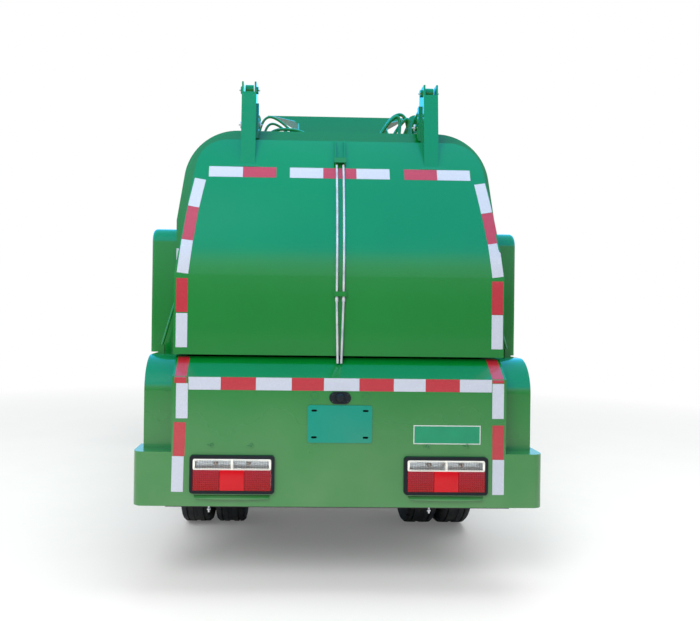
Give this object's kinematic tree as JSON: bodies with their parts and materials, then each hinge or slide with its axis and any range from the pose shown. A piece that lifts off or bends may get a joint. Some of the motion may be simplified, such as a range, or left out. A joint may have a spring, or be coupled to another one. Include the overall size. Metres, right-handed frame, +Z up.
{
  "type": "garbage truck",
  "caption": "Small cab-over kitchen-waste truck: closed tank, top-hinged bulged tail door with lever arms, roof hopper, side bin arms and twin rear wheels.",
  "frame": {"origin": "on the ground at the middle of the vehicle's box, seen from above", "axes": "+X forward, +Y left, +Z up"},
  "size_m": [4.944, 2, 2.455],
  "materials": {
    "green_paint": "gloss",
    "frame_black": "satin",
    "cast_grey": "matte",
    "exhaust_steel": "satin",
    "black_plastic": "satin",
    "red_lens": "gloss",
    "clear_lens": "gloss",
    "seat_cloth": "matte",
    "glass": "gloss",
    "bare_pipe": "satin",
    "tyre_rubber": "matte",
    "wheel_silver": "satin",
    "chrome_rod": "polished"
  },
  "bodies": {
    "chassis": {"chassis_frame": "frame_black", "front_axle": "frame_black", "rear_axle": "frame_black", "engine": "cast_grey", "fuel_tank": "frame_black", "exhaust": "exhaust_steel", "body_subframe": "frame_black", "tank_shell": "green_paint", "rear_ring": "green_paint", "roof_brackets": "green_paint", "hopper": "green_paint", "lifter_mount": "green_paint", "locker_left": "green_paint", "locker_right": "green_paint", "rear_apron": "green_paint", "plate_panel": "green_paint", "rear_camera": "black_plastic", "lamp_frames": "black_plastic", "lamp_lenses": "red_lens", "underrun_bar": "frame_black", "fender_left": "green_paint", "fender_right": "green_paint", "cab_shell": "green_paint", "cab_screen": "glass", "cab_mounts": "frame_black", "front_bumper": "green_paint", "grille": "black_plastic", "headlamps": "clear_lens", "dashboard": "black_plastic", "steering_wheel": "black_plastic", "seat_boxes": "frame_black", "seats": "seat_cloth"},
    "tail_door": {"tail_door": "green_paint", "door_pipes": "bare_pipe"},
    "hopper_cover": {"hopper_cover": "green_paint"},
    "bin_arms": {"bin_arms": "green_paint"},
    "barrel_left": {"barrel_left": "green_paint"},
    "rod_left": {"rod_left": "chrome_rod"},
    "cab_door_left": {"door_left": "green_paint", "door_glass_left": "glass", "mirror_left": "black_plastic"},
    "knuckle_left": {"knuckle_left": "frame_black"},
    "barrel_right": {"barrel_right": "green_paint"},
    "rod_right": {"rod_right": "chrome_rod"},
    "cab_door_right": {"door_right": "green_paint", "door_glass_right": "glass", "mirror_right": "black_plastic"},
    "knuckle_right": {"knuckle_right": "frame_black"},
    "wheel_front_left": {"tyre_front_left": "tyre_rubber", "rim_front_left": "wheel_silver"},
    "wheel_front_right": {"tyre_front_right": "tyre_rubber", "rim_front_right": "wheel_silver"},
    "wheel_rear_left": {"tyre_rear_left": "tyre_rubber", "rim_rear_left": "wheel_silver"},
    "wheel_rear_right": {"tyre_rear_right": "tyre_rubber", "rim_rear_right": "wheel_silver"}
  },
  "joints": [
    {"name": "tail_door_hinge", "type": "hinge", "parent": "chassis", "child": "tail_door", "pos_m": [-2.06, 0, 2.106], "axis": [0, 1, 0], "range_deg": [0, 80]},
    {"name": "cover_slide", "type": "slide", "parent": "chassis", "child": "hopper_cover", "axis": [1, 0, 0], "range_m": [0, 0.48]},
    {"name": "bin_arms_hinge", "type": "hinge", "parent": "chassis", "child": "bin_arms", "pos_m": [-1.2, -0.69, 2.08], "axis": [-1, 0, 0], "range_deg": [0, 170]},
    {"name": "barrel_swing_left", "type": "hinge", "parent": "chassis", "child": "barrel_left", "pos_m": [-1.42, 0.417, 2.15], "axis": [0, 1, 0], "range_deg": [0, 2.72]},
    {"name": "rod_slide_left", "type": "slide", "parent": "barrel_left", "child": "rod_left", "axis": [-0.9932, 0, 0.1165], "range_m": [-0.2194, 0]},
    {"name": "cab_door_hinge_left", "type": "hinge", "parent": "chassis", "child": "cab_door_left", "pos_m": [2.17, 0.842, 1.4], "axis": [0, 0, -1], "range_deg": [0, 68]},
    {"name": "steer_left", "type": "hinge", "parent": "chassis", "child": "knuckle_left", "pos_m": [1.51, 0.6, 0.335], "axis": [0, 0, 1], "range_deg": [-30, 30]},
    {"name": "barrel_swing_right", "type": "hinge", "parent": "chassis", "child": "barrel_right", "pos_m": [-1.42, -0.417, 2.15], "axis": [0, 1, 0], "range_deg": [0, 2.72]},
    {"name": "rod_slide_right", "type": "slide", "parent": "barrel_right", "child": "rod_right", "axis": [-0.9932, 0, 0.1165], "range_m": [-0.2194, 0]},
    {"name": "cab_door_hinge_right", "type": "hinge", "parent": "chassis", "child": "cab_door_right", "pos_m": [2.17, -0.842, 1.4], "axis": [0, 0, 1], "range_deg": [0, 68]},
    {"name": "steer_right", "type": "hinge", "parent": "chassis", "child": "knuckle_right", "pos_m": [1.51, -0.6, 0.335], "axis": [0, 0, 1], "range_deg": [-30.5, 30.5]},
    {"name": "wheel_spin_front_left", "type": "hinge", "parent": "knuckle_left", "child": "wheel_front_left", "pos_m": [1.51, 0.7, 0.335], "axis": [0, 1, 0], "continuous": true},
    {"name": "wheel_spin_front_right", "type": "hinge", "parent": "knuckle_right", "child": "wheel_front_right", "pos_m": [1.51, -0.7, 0.335], "axis": [0, 1, 0], "continuous": true},
    {"name": "wheel_spin_rear_left", "type": "hinge", "parent": "chassis", "child": "wheel_rear_left", "pos_m": [-1.29, 0.72, 0.335], "axis": [0, 1, 0], "continuous": true},
    {"name": "wheel_spin_rear_right", "type": "hinge", "parent": "chassis", "child": "wheel_rear_right", "pos_m": [-1.29, -0.72, 0.335], "axis": [0, 1, 0], "continuous": true}
  ],
  "couplings": [
    {"joint": "barrel_swing_left", "follows": "tail_door_hinge", "ratio": 0.033397},
    {"joint": "rod_slide_left", "follows": "tail_door_hinge", "m_per_rad": -0.15677},
    {"joint": "barrel_swing_right", "follows": "tail_door_hinge", "ratio": 0.033397},
    {"joint": "rod_slide_right", "follows": "tail_door_hinge", "m_per_rad": -0.15677},
    {"joint": "steer_right", "follows": "steer_left", "ratio": 1}
  ]
}
